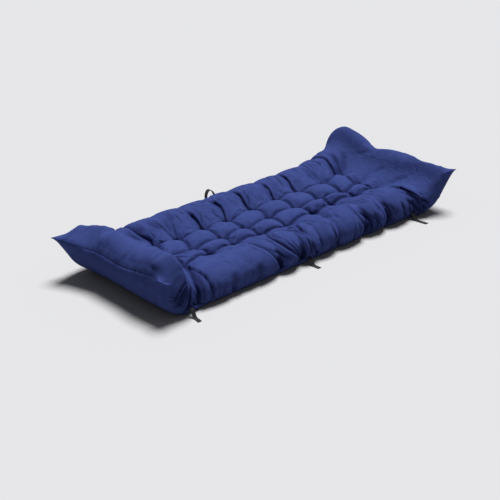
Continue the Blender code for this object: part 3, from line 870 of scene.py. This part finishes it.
@dataclass(frozen=True)
class TapeFinish:
    """A narrow black tape with a ribbed weave across its width."""

    name: str = "black_tape"
    colour: Triple = (0.008, 0.008, 0.012)
    roughness: float = 0.75
    rib: float = 0.0012
    rib_height: float = 0.0003

    def build(self) -> bpy.types.Material:
        """Makes the material, which reads the piece's own UV map in metres."""
        graph = NodeGraph(self.name)
        graph.feed(graph.shader, {
            "Base Color": (*self.colour, 1.0), "Roughness": self.roughness, "Specular IOR Level": 0.3,
            "Normal": graph.bump(0.5, self.rib_height, graph.ribs("Y", self.rib, 0.4)),
        })
        return graph.material


class SheetMesh:
    """A mesh in the making, from grids of points that also have a place on a flat sheet."""

    def __init__(self) -> None:
        """Starts an empty mesh with its sheet map."""
        self.mesh = bmesh.new()
        self.sheet = self.mesh.loops.layers.uv.new("sheet")

    def spread(self, verts: list[list[bmesh.types.BMVert]], places: Array, order: int = 1) -> None:
        """Fills a grid of points with faces, which look out of it at an order of 1 and into it at -1."""
        for i in range(len(verts) - 1):
            for j in range(len(verts[0]) - 1):
                corners = ((i, j), (i + 1, j), (i + 1, j + 1), (i, j + 1))[::order]
                face = self.mesh.faces.new([verts[a][b] for a, b in corners])
                for loop, corner in zip(face.loops, corners):
                    loop[self.sheet].uv = places[corner]

    def done(self, name: str) -> bpy.types.Mesh:
        """The finished mesh."""
        made = bpy.data.meshes.new(name)
        self.mesh.to_mesh(made)
        self.mesh.free()
        return made


def link_mesh(name: str, mesh: bpy.types.Mesh, material: bpy.types.Material) -> bpy.types.Object:
    """Puts a finished mesh into the scene, shaded smooth, in its material."""
    mesh.materials.append(material)
    mesh.shade_smooth()
    made = bpy.data.objects.new(name, mesh)
    bpy.context.scene.collection.objects.link(made)
    return made


def apply_all(piece: bpy.types.Object) -> None:
    """Applies every modifier of a piece, in order."""
    bpy.ops.object.select_all(action="DESELECT")
    bpy.context.view_layer.objects.active = piece
    piece.select_set(True)
    for modifier in list(piece.modifiers):
        bpy.ops.object.modifier_apply(modifier=modifier.name)
    piece.select_set(False)


@dataclass(frozen=True)
class FineFolds:
    """The small gathers that run from a part of the seam, drawn by chance."""

    edge: End | Side
    start: float
    stop: float
    count: int
    length: float
    depth: float
    lean: float = 0.0


@dataclass(frozen=True)
class Wrinkles:
    """Small wrinkles over an area of the top, at about a given angle to its length.

    An angle of 0 leaves each of them to lie any way.
    """

    left: float
    right: float
    front: float
    back: float
    count: int
    length: float
    depth: float
    angle: float


@dataclass(frozen=True)
class Scatter:
    """How widely small folds differ: shares of their length and depth, and their turn and bow."""

    lengths: tuple[float, float]
    depths: tuple[float, float]
    turn: float
    bow: float


@dataclass
class ClothSurface:
    """A panel at its finest, with what its folds need to know at each of its points."""

    points: Array
    sheet: Array
    place: Array
    order: int
    sunk: Array | None = None

    def __post_init__(self) -> None:
        """Works out the way along, across and out of the cloth."""
        along = np.gradient(self.points, axis=0)
        across = np.gradient(self.points, axis=1)
        ways = (along, across, np.cross(along, across) * self.order)
        self.along, self.across, self.out = (
            way / np.maximum(np.linalg.norm(way, axis=-1, keepdims=True), LEAST_WAY) for way in ways
        )


@dataclass
class TuftedCushion:
    """The filled cushion: two panels sewn round the rim, drawn down at its tufts and filled."""

    cloth: bpy.types.Material
    form: CushionForm = field(default_factory=CushionForm)
    # The filling
    growth: float = 0.02
    pressure: float = 4.0
    stiffness: float = 12.0
    bending: float = 0.35
    steps: int = 16
    cap: float = 0.005
    tuft_reach: float = 0.006
    quality: int = 5
    mass: float = 0.3
    shear_share: float = 0.4
    damping: float = 5.0
    # The channels and the tufts
    channel_depth: float = 0.0105
    channel_width: float = 0.0044
    channel_edge: float = 1.15
    channel_least: float = 0.85
    field_fade: float = 0.020
    tuft_depth: float = 0.0020
    tuft_width: float = 0.0085
    ray_height: float = 0.0013
    ray_reach: float = 0.019
    ray_counts: tuple[int, ...] = (5, 8, 11)
    ray_start: float = 0.007
    ray_limit: float = 0.12
    under_tuft_depth: float = 0.0060
    under_fade: float = 0.03
    # The groove of the seam
    seam_lip: float = 0.0022
    seam_width: float = 0.0070
    pucker_pitch: float = 0.015
    side_lip_share: float = 0.25
    lip_share: float = 0.6
    lip_corner: float = 0.35
    lip_end_pace: float = 1.5
    pucker_share: float = 0.4
    pucker_drifts: tuple[float, float] = (61.0, 83.0)
    # The small folds that are drawn by chance
    fine: tuple[FineFolds, ...] = (
        FineFolds(Side.FRONT, -0.34, 0.14, 40, 0.060, 0.0020, -0.20),
        FineFolds(Side.FRONT, 0.14, 0.38, 36, 0.080, 0.0026, -0.25),
        FineFolds(Side.FRONT, 0.38, 0.52, 16, 0.090, 0.0024, -0.55),
        FineFolds(Side.FRONT, -0.60, -0.34, 34, 0.100, 0.0030, -0.30),
        FineFolds(Side.BACK, -0.36, 0.45, 50, 0.070, 0.0018),
        FineFolds(End.RIGHT, -0.16, 0.16, 8, 0.040, 0.0006),
        FineFolds(End.LEFT, -0.16, 0.16, 10, 0.050, 0.0010),
    )
    wrinkles: tuple[Wrinkles, ...] = (
        Wrinkles(-0.36, 0.44, -0.19, -0.09, 120, 0.050, 0.0012, 1.75),
        Wrinkles(-0.36, 0.46, 0.09, 0.19, 110, 0.045, 0.0011, 1.55),
        Wrinkles(-0.34, 0.43, -0.09, 0.09, 130, 0.022, 0.0008, 0.0),
        Wrinkles(-0.60, -0.38, -0.19, 0.19, 36, 0.050, 0.0008, 0.9),
        Wrinkles(0.45, 0.60, -0.19, 0.19, 10, 0.070, 0.0006, 0.3),
    )
    wrinkle: Scatter = Scatter((0.5, 1.3), (0.5, 1.6), 0.30, 0.18)
    gather: Scatter = Scatter((0.35, 1.0), (0.5, 1.5), 0.18, 0.10)
    seed: int = 11
    seed_stride: int = 7
    # The section of every fold, its lips and lap in widths of the fold, and its line
    fold_run_in: float = 0.40
    run_in_width: float = 3.2
    lip_place: float = 1.9
    lip_width: float = 0.8
    lap_lip: float = 0.8
    lap_place: float = 1.1
    lap_width: float = 0.9
    fold_margin: float = 5.0
    fold_tail: float = 1.5
    fold_taper: float = 0.35
    fold_step: float = 0.004
    fewest_steps: int = 6
    rounding: int = 3
    # How far all of them together may move the cloth
    most_moved: float = 0.0135
    # The fold depth by which the painted shade in the folds is scaled.
    deepest: float = 0.010
    corner_start: float = 0.5
    corner_run: float = 0.4
    floor_gap: float = 0.0004
    carry: float = 0.016

    def build(self) -> bpy.types.Object:
        """Makes the cushion.

        Returns:
            The finished piece, riding on the root body.
        """
        top, under = self.form.panels()
        top, under = self.fill(top, under)
        self.top, self.under = self.finer(top, 1), self.finer(under, -1)
        self.crease_top()
        self.crease_under()
        self.close_rim()
        mesh = self.sewn(self.top, self.under, "cushion_cloth")
        self.mark(mesh)
        piece = link_mesh("cushion_cloth", mesh, self.cloth)
        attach(piece, "root")
        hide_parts("cushion")
        return piece

    def sewn(self, top: Panel | ClothSurface, under: Panel | ClothSurface, name: str) -> bpy.types.Mesh:
        """Sews both panels, as grids that share the points of the rim, with their sheet map."""
        made = SheetMesh()
        over = [[made.mesh.verts.new(point) for point in row] for row in top.points]
        below_it = [list(row) for row in over]
        for i, row in enumerate(under.points[1:-1], 1):
            below_it[i][1:-1] = [made.mesh.verts.new(point) for point in row[1:-1]]
        made.spread(over, top.sheet)
        made.spread(below_it, under.sheet, -1)
        return made.done(name)

    def pins(self, top: Panel) -> Array:
        """How firmly each point is held while the filling swells, the top's points first."""
        held = np.zeros(top.points.shape[:2])
        for tuft in self.form.tufts.reshape(-1, 2):
            away = np.linalg.norm(top.points[..., :2] - CENTRE - tuft, axis=-1)
            held = np.maximum(held, (away < self.tuft_reach) | (away == away.min()))
        held[0], held[-1], held[:, 0], held[:, -1] = 1.0, 1.0, 1.0, 1.0
        return np.concatenate([held.ravel(), np.ones(held[1:-1, 1:-1].size)])

    def fill(self, top: Panel, under: Panel) -> tuple[Panel, Panel]:
        """Swells the sewn cloth with a Cloth simulation.

        Args:
            top: The top's panel, from its sizes.
            under: The underside's panel.

        Returns:
            The top's panel as the filling leaves it, moved by no more than the cap, and the underside's as
            it was.
        """
        piece = link_mesh("filling", self.sewn(top, under, "filling"), self.cloth)
        pins = self.pins(top)
        group = piece.vertex_groups.new(name="held")
        group.add(np.flatnonzero(pins > 0.0).tolist(), 1.0, "REPLACE")
        settings = piece.modifiers.new("filling", "CLOTH").settings
        for key, value in {
            "quality": self.quality, "mass": self.mass, "tension_stiffness": self.stiffness,
            "compression_stiffness": self.stiffness, "shear_stiffness": self.stiffness * self.shear_share,
            "bending_stiffness": self.bending, "tension_damping": self.damping,
            "compression_damping": self.damping, "use_pressure": True,
            "uniform_pressure_force": self.pressure, "shrink_min": -self.growth,
            "vertex_group_mass": group.name,
        }.items():
            setattr(settings, key, value)
        settings.effector_weights.gravity = 0.0
        base, swollen = np.empty((2, len(piece.data.vertices) * 3))
        piece.data.vertices.foreach_get("co", base)
        for step in range(1, self.steps + 1):
            bpy.context.scene.frame_set(step)
        apply_all(piece)
        piece.data.vertices.foreach_get("co", swollen)
        bpy.data.objects.remove(piece)
        bpy.context.scene.frame_set(1)
        moved = (swollen - base).reshape(-1, 3)
        far = 1000 * np.linalg.norm(moved, axis=1)
        log.info("filling moved the cloth by %.1f mm at most, %.1f on average", far.max(), far.mean())
        lifted = capped(moved[:top.points[..., 0].size], self.cap).reshape(top.points.shape)
        return Panel(top.points + lifted, top.sheet), under

    def finer(self, panel: Panel, order: int) -> ClothSurface:
        """A panel with twice as many cells each way, rounded between its points."""
        rim_s = self.form.stations()[2][:, None]
        rim_y = self.form.lines_across()[0][0][None] * self.form.seam_half_depth
        place = np.stack(np.broadcast_arrays(rim_s, rim_y), axis=-1)
        return ClothSurface(twice(panel.points), twice(panel.sheet), twice(place), order)

    def corners(self, panel: ClothSurface) -> tuple[Array, Array]:
        """From 0 to 1, how near each point is to a corner, along the cushion and across it."""
        return self.form.corner_reach(panel.place[..., 0], panel.place[..., 1] / self.form.seam_half_depth)

    def crease_top(self) -> None:
        """Presses the channels, the tufts and the folds into the top, and leaves the corners plain."""
        top = self.top
        moved = self.channels(top) + self.tufts(top, self.tuft_depth)
        for placed in PLACED_FOLDS:
            moved += self.folded(top, placed)
        for run in self.fine:
            moved += self.gathered(top, run)
        for area in self.wrinkles:
            moved += self.wrinkled(top, area)
        along, across = self.corners(top)
        moved = moved * (1.0 - smooth((along * across - self.corner_start) / self.corner_run))[..., None]
        self.rim_moves = self.press(top, capped(moved, self.most_moved), self.floor_gap)

    def crease_under(self) -> None:
        """Draws the underside up a little at its tufts, so that it still lies flat round them."""
        under = self.under
        fade = smooth(self.rim_distance(under) / self.under_fade)
        moved = self.tufts(under, self.under_tuft_depth) * fade[..., None]
        for axis in (0, 1):
            ahead = lengths(under.points, axis)
            for index, away in ((0, ahead), (-1, ahead.take([-1], axis) - ahead)):
                moved = moved + self.rim_moves.take([index], axis) * bell(away, self.carry)[..., None]
        self.press(under, moved, 0.0)

    def press(self, panel: ClothSurface, moved: Array, least: float) -> Array:
        """Moves a panel's points, none of them under a least height, and notes how deep they sink."""
        panel.points = panel.points + moved
        panel.points[..., 2] = np.maximum(panel.points[..., 2], least)
        panel.sunk = -(moved * panel.out).sum(axis=-1)
        return moved

    def mark(self, mesh: bpy.types.Mesh) -> None:
        """Notes, for the painted shade in the cloth's folds and along its seam, how deep each point lies in
        a fold and how far from the seam.
        """
        inner = (slice(1, -1), slice(1, -1))
        lanes = {
            "fold": [np.clip(panel.sunk / self.deepest, -1.0, 1.0) for panel in (self.top, self.under)],
            "seam": [self.rim_distance(panel) for panel in (self.top, self.under)],
        }
        for name, (over, below_it) in lanes.items():
            lane = mesh.attributes.new(name, "FLOAT", "POINT")
            lane.data.foreach_set("value", np.concatenate([over.ravel(), below_it[inner].ravel()]))

    def rim_distance(self, panel: ClothSurface) -> Array:
        """How far each point lies from the rim, over the cloth."""
        along, across = (lengths(panel.points, axis) for axis in (0, 1))
        to_side = np.minimum(across, across[:, -1:] - across)
        return np.minimum(to_side, np.minimum(along, along[-1:] - along))

    def close_rim(self) -> None:
        """Swells both panels beside the rim, with small puckers, so that the seam lies in a groove."""
        for panel in (self.top, self.under):
            away = self.rim_distance(panel)
            lip = bell(away - self.seam_width, self.lip_share * self.seam_width)
            lip = lip * smooth(away / self.seam_width)
            s, w = panel.sheet[..., 0], panel.sheet[..., 1]
            share, drifts = self.pucker_share, self.pucker_drifts
            wander = share * np.sin(s * drifts[0]) + share * np.sin(w * drifts[1])
            pucker = 1.0 + share * np.sin(2 * math.pi * ((s + w) / self.pucker_pitch + wander))
            along, across = self.corners(panel)
            flat = 1.0 - smooth((along * across - self.lip_corner) / self.lip_corner)
            flat = flat * mix(self.side_lip_share, 1.0, smooth(along * self.lip_end_pace))
            panel.points = panel.points + panel.out * (self.seam_lip * lip * pucker * flat)[..., None]
            panel.points[..., 2] = np.maximum(panel.points[..., 2], 0.0)

    def channels(self, panel: ClothSurface) -> Array:
        """The channels between neighbouring tufts, deepest at the tufts."""
        form = self.form
        s, y = panel.place[..., 0], panel.place[..., 1]
        depth = np.zeros(s.shape)
        past = (form.past_rows(y), form.past_columns(s))
        in_field = math.prod(1.0 - smooth(beyond / self.field_fade) for beyond in past)
        for lines, place, other, other_lines in (
            (form.columns, s, y, form.rows), (form.rows, y, s, form.columns),
        ):
            between_tufts = np.abs(np.sin(math.pi * counted(other, other_lines)))
            near_tuft = mix(1.0, self.channel_least, between_tufts)
            for line in lines:
                off = np.abs(place - line) / self.channel_width
                depth = np.maximum(depth, near_tuft * np.exp(-(off**self.channel_edge)))
        return -panel.out * (self.channel_depth * depth * in_field)[..., None]

    def tufts(self, panel: ClothSurface, depth: float) -> Array:
        """A dimple at each tuft, with small folds that radiate from it."""
        draw = np.random.default_rng(self.seed + 1)
        moved = np.zeros(panel.points.shape[:2])
        for tuft in self.form.tufts.reshape(-1, 2):
            away = panel.points[..., :2] - CENTRE - tuft
            far = np.linalg.norm(away, axis=-1)
            angle = np.arctan2(away[..., 1], away[..., 0])
            rays = sum(np.cos(count * angle + draw.uniform(0, 2 * math.pi)) for count in self.ray_counts)
            rays = rays * np.exp(-far / self.ray_reach) * (1.0 - bell(far, self.ray_start))
            raised = self.ray_height * rays - depth * bell(far, self.tuft_width)
            moved += np.where(far < self.ray_limit, raised, 0)
        return panel.out * moved[..., None]

    def folded(self, panel: ClothSurface, placed: Fold) -> Array:
        """How a fold moves the cloth.

        Args:
            panel: The panel that it lies in.
            placed: The fold.

        Returns:
            The move of each of the panel's points.
        """
        shape, knots = placed.kind.value, placed.path
        gone = lengths(knots, 0)
        fine = np.linspace(0.0, gone[-1], max(int(gone[-1] / self.fold_step), self.fewest_steps))
        line = np.stack([np.interp(fine, gone, knots[:, k]) for k in range(2)], axis=-1)
        for _ in range(self.rounding):
            line[1:-1] = (line[:-2] + 2 * line[1:-1] + line[2:]) / 4
        way = np.gradient(line, axis=0)
        way /= np.linalg.norm(way, axis=1, keepdims=True)
        moved = np.zeros(panel.points.shape)
        margin = self.fold_margin * shape.width
        low, high = line.min(axis=0) - margin, line.max(axis=0) + margin
        near = ((panel.sheet > low) & (panel.sheet < high)).all(axis=-1)
        if not near.any():
            return moved
        gaps = panel.sheet[near][:, None] - line[None]
        closest = (gaps**2).sum(axis=2).argmin(axis=1)
        gap, ahead = gaps[np.arange(len(gaps)), closest], way[closest]
        off = (gap[:, 1] * ahead[:, 0] - gap[:, 0] * ahead[:, 1]) / shape.width
        run = fine[closest] + (gap * ahead).sum(axis=1)
        past = np.maximum(np.maximum(-run, run - gone[-1]), 0.0)
        share = np.clip(run / gone[-1], 0.0, 1.0)
        held = bell(past, self.fold_tail * shape.width) * placed.strength
        for deep, inward in zip(placed.deep.value, (share, 1.0 - share)):
            held = held * (1.0 if deep else smooth(inward / self.fold_taper))
        lips = shape.lip * bell(np.abs(off) - self.lip_place, self.lip_width)
        lips = lips * (1.0 + self.lap_lip * np.sign(off) * placed.lap)
        trough = np.exp(-(np.abs(off) ** shape.edge)) + self.fold_run_in * bell(off, self.run_in_width)
        sideways = -placed.lap * shape.over * bell(off * placed.lap - self.lap_place, self.lap_width)
        over = -ahead[:, 1:2] * panel.along[near] + ahead[:, 0:1] * panel.across[near]
        rise = shape.depth * (lips - trough)
        moved[near] = held[:, None] * (rise[:, None] * panel.out[near] + sideways[:, None] * over)
        return moved

    def wrinkled(self, panel: ClothSurface, area: Wrinkles) -> Array:
        """The small wrinkles over an area, each a short soft fold."""
        draw = np.random.default_rng(self.seed + self.seed_stride * area.count)
        by = self.wrinkle
        moved = np.zeros(panel.points.shape)
        for _ in range(area.count):
            s, y = draw.uniform(area.left, area.right), draw.uniform(area.front, area.back)
            row = nearest(panel.place[:, 0, 0], s)
            middle = panel.sheet[row, nearest(panel.place[row, :, 1], y)]
            angle = draw.normal(area.angle, by.turn) if area.angle else draw.uniform(0.0, math.pi)
            way = np.array((math.cos(angle), math.sin(angle))) * area.length * draw.uniform(*by.lengths) / 2
            bow = np.array((way[1], -way[0])) * draw.normal(0.0, by.bow)
            strength = area.depth / WRINKLE.value.depth * draw.uniform(*by.depths)
            path = np.array((middle - way, middle + bow, middle + way))
            moved += self.folded(panel, Fold(WRINKLE, NEITHER, path, strength=strength))
        return moved

    def gathered(self, panel: ClothSurface, run: FineFolds) -> Array:
        """The small gathers along a part of the seam."""
        draw, by = np.random.default_rng(self.seed + run.count), self.gather
        moved = np.zeros(panel.points.shape)
        first = 0 if run.edge in (Side.FRONT, End.LEFT) else -1
        for _ in range(run.count):
            spot = draw.uniform(run.start, run.stop)
            length = run.length * draw.uniform(*by.lengths)
            lean = draw.normal(run.lean, by.turn)
            if isinstance(run.edge, Side):
                foot = panel.sheet[nearest(panel.place[:, first, 0], spot), first]
                inward = np.array((lean, -float(run.edge.value)))
            else:
                foot = panel.sheet[first, nearest(panel.place[first, :, 1], spot)]
                inward = np.array((-float(run.edge.value), lean))
            bow = np.array((inward[1], -inward[0])) * draw.normal(0.0, by.bow) * length
            strength = run.depth / GATHER.value.depth * draw.uniform(*by.depths)
            path = np.array((foot, foot + inward * length * 0.5 + bow, foot + inward * length))
            moved += self.folded(panel, Fold(GATHER, START, path, strength=strength))
        return moved


@dataclass(frozen=True)
class TieRun:
    """A front tie: where it leaves the rim, how far out it lies, and how far it drifts along X."""

    x: float
    reach: float
    drift: float


@dataclass
class TieTapes:
    """The tie tapes, each with its free end or, at the back, as a standing loop."""

    tape: bpy.types.Material
    rim: Array
    back_rim: Array
    width: float = 0.013
    thickness: float = 0.0012
    gap: float = 0.0004
    lift: float = 0.0002
    droop: float = 0.022
    steps: int = 36
    fronts: dict[str, TieRun] = field(default_factory=lambda: {
        "tie_front_left": TieRun(-0.444, 0.042, -0.004),
        "tie_front_middle": TieRun(0.010, 0.042, 0.003),
        "tie_front_right": TieRun(0.462, 0.056, 0.008),
    })
    loop_x: float = 0.020
    loop_width: float = 0.040
    loop_rise: float = 0.060
    loop_reach: float = 0.040
    loop_belly: float = 0.25
    loop_squareness: float = 0.4
    lanes: int = 5
    edge_share: float = 0.3

    def build(self) -> list[bpy.types.Object]:
        made = [self.front(name, run) for name, run in self.fronts.items()]
        made.append(self.back_loop())
        return made

    def rim_at(self, rim: Array, x: float) -> Array:
        """The point of a rim at a place along the cushion."""
        return np.array([float(np.interp(x + CENTRE[0], rim[:, 0], rim[:, k])) for k in range(3)])

    def front(self, name: str, run: TieRun) -> bpy.types.Object:
        """A tape that leaves the front rim, droops to the surface and lies on it."""
        start = self.rim_at(self.rim, run.x)
        lying = self.thickness / 2 + self.lift
        path = []
        for t in np.linspace(0.0, 1.0, self.steps + 1):
            out = self.gap + run.reach * t
            height = mix(start[2], lying, float(smooth(out / self.droop)))
            path.append((start[0] + run.drift * t * t, start[1] - out, height))
        return self.strip(name, np.array(path), np.array((1.0, 0.0, 0.0)))

    def back_loop(self) -> bpy.types.Object:
        """The tape that stands behind the back edge as a loop, both of its ends at the rim."""
        start = self.rim_at(self.back_rim, self.loop_x)
        path = []
        for angle in np.linspace(0.0, math.pi, 2 * self.steps + 1):
            side = self.loop_width / 2 * math.cos(angle) * (1 + self.loop_belly * math.sin(angle))
            stood_off = max(math.sin(angle), 0.0) ** self.loop_squareness
            out = self.gap + self.width / 2 + self.loop_reach * stood_off
            path.append((start[0] - side, start[1] + out, start[2] + self.loop_rise * math.sin(angle)))
        return self.strip("tie_back_loop", np.array(path), np.array((0.0, 1.0, 0.0)))

    def strip(self, name: str, path: Array, across: Array) -> bpy.types.Object:
        """A flat tape along a path.

        Args:
            name: The CAD node that it replaces.
            path: The points of its middle line.
            across: The way its width runs.

        Returns:
            The finished tape.
        """
        ahead = lengths(path, 0)
        offs = np.linspace(-0.5, 0.5, self.lanes)
        made = SheetMesh()
        verts = [[made.mesh.verts.new(point + across * off * self.width) for point in path] for off in offs]
        made.spread(verts, np.stack(np.broadcast_arrays(offs[:, None] * self.width, ahead[None]), axis=-1))
        piece = link_mesh(name + "_cloth", made.done(name + "_cloth"), self.tape)
        thick = piece.modifiers.new("thick", "SOLIDIFY")
        thick.thickness = self.thickness
        thick.offset = 0.0
        edge = piece.modifiers.new("edge", "BEVEL")
        edge.width = self.thickness * self.edge_share
        edge.segments = 2
        apply_all(piece)
        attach(piece, "root")
        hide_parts(name)
        return piece


@dataclass
class Studio:
    """A pale floor, soft light and the camera at the photo's angle."""

    azimuth: float = -42.69
    elevation: float = 26.89
    roll: float = 0.27
    place: Triple = (-2.5575, -2.7177, 1.8608)
    lens_px: float = 1384.0
    image_px: float = 500.0
    floor_colour: Triple = (0.40, 0.40, 0.408)
    world_strength: float = 0.15
    key_strength: float = 6.0
    key_spread: float = 26.0
    key_from: Triple = (0.26, 0.12, 1.0)
    floor_size: float = 40.0
    sensor: float = 36.0

    def build(self) -> None:
        """Makes the floor, the lights and the camera."""
        self.floor()
        self.lights()
        self.camera()

    def floor(self) -> None:
        """The plain floor that the cushion lies on."""
        bpy.ops.object.select_all(action="DESELECT")
        bpy.ops.mesh.primitive_plane_add(size=self.floor_size)
        ground = bpy.context.active_object
        ground.name = "floor"
        made = bpy.data.materials.new("pale_floor")
        made.use_nodes = True
        shader = made.node_tree.nodes["Principled BSDF"]
        shader.inputs["Base Color"].default_value = (*self.floor_colour, 1.0)
        shader.inputs["Roughness"].default_value = 0.9
        shader.inputs["Specular IOR Level"].default_value = 0.1
        ground.data.materials.append(made)

    def lights(self) -> None:
        """A dim even sky and one soft key light from above, a little behind and to the right."""
        bpy.context.scene.view_settings.view_transform = "Standard"
        sky = bpy.data.worlds.new("studio")
        bpy.context.scene.world = sky
        sky.use_nodes = True
        light = sky.node_tree.nodes["Background"]
        light.inputs["Color"].default_value = (1.0, 1.0, 1.0, 1.0)
        light.inputs["Strength"].default_value = self.world_strength
        key = bpy.data.lights.new("key", "SUN")
        key.energy = self.key_strength
        key.angle = math.radians(self.key_spread)
        made = bpy.data.objects.new("key", key)
        bpy.context.scene.collection.objects.link(made)
        made.rotation_euler = (-Vector(self.key_from)).to_track_quat("-Z", "Y").to_euler()

    def camera(self) -> None:
        """The camera, at the photo's angle and framing."""
        azimuth, elevation, roll = (math.radians(v) for v in (self.azimuth, self.elevation, self.roll))
        ahead = Vector((
            -math.sin(azimuth) * math.cos(elevation),
            math.cos(azimuth) * math.cos(elevation),
            -math.sin(elevation),
        ))
        right = Vector((math.cos(azimuth), math.sin(azimuth), 0.0))
        up = right.cross(ahead)
        level_right = right * math.cos(roll) + up * math.sin(roll)
        level_up = up * math.cos(roll) - right * math.sin(roll)
        data = bpy.data.cameras.new("camera")
        data.sensor_width = self.sensor
        data.lens = self.sensor * self.lens_px / self.image_px
        made = bpy.data.objects.new("camera", data)
        bpy.context.scene.collection.objects.link(made)
        turned = Matrix((level_right, level_up, -ahead)).transposed().to_4x4()
        turned.translation = Vector(self.place)
        made.matrix_world = turned
        bpy.context.scene.camera = made


def main() -> None:
    """Builds the cushion and its ties, sets the studio, and logs each piece's faces."""
    logging.basicConfig(level=logging.INFO, format="%(message)s")
    Studio().build()
    cushion = TuftedCushion(ClothFinish().build())
    piece = cushion.build()
    log.info("%s: %d faces", piece.name, len(piece.data.polygons))
    top, _ = cushion.form.panels()
    for tie in TieTapes(TapeFinish().build(), top.points[:, 0], top.points[:, -1]).build():
        log.info("%s: %d faces", tie.name, len(tie.data.polygons))


if __name__ == "__main__":
    main()
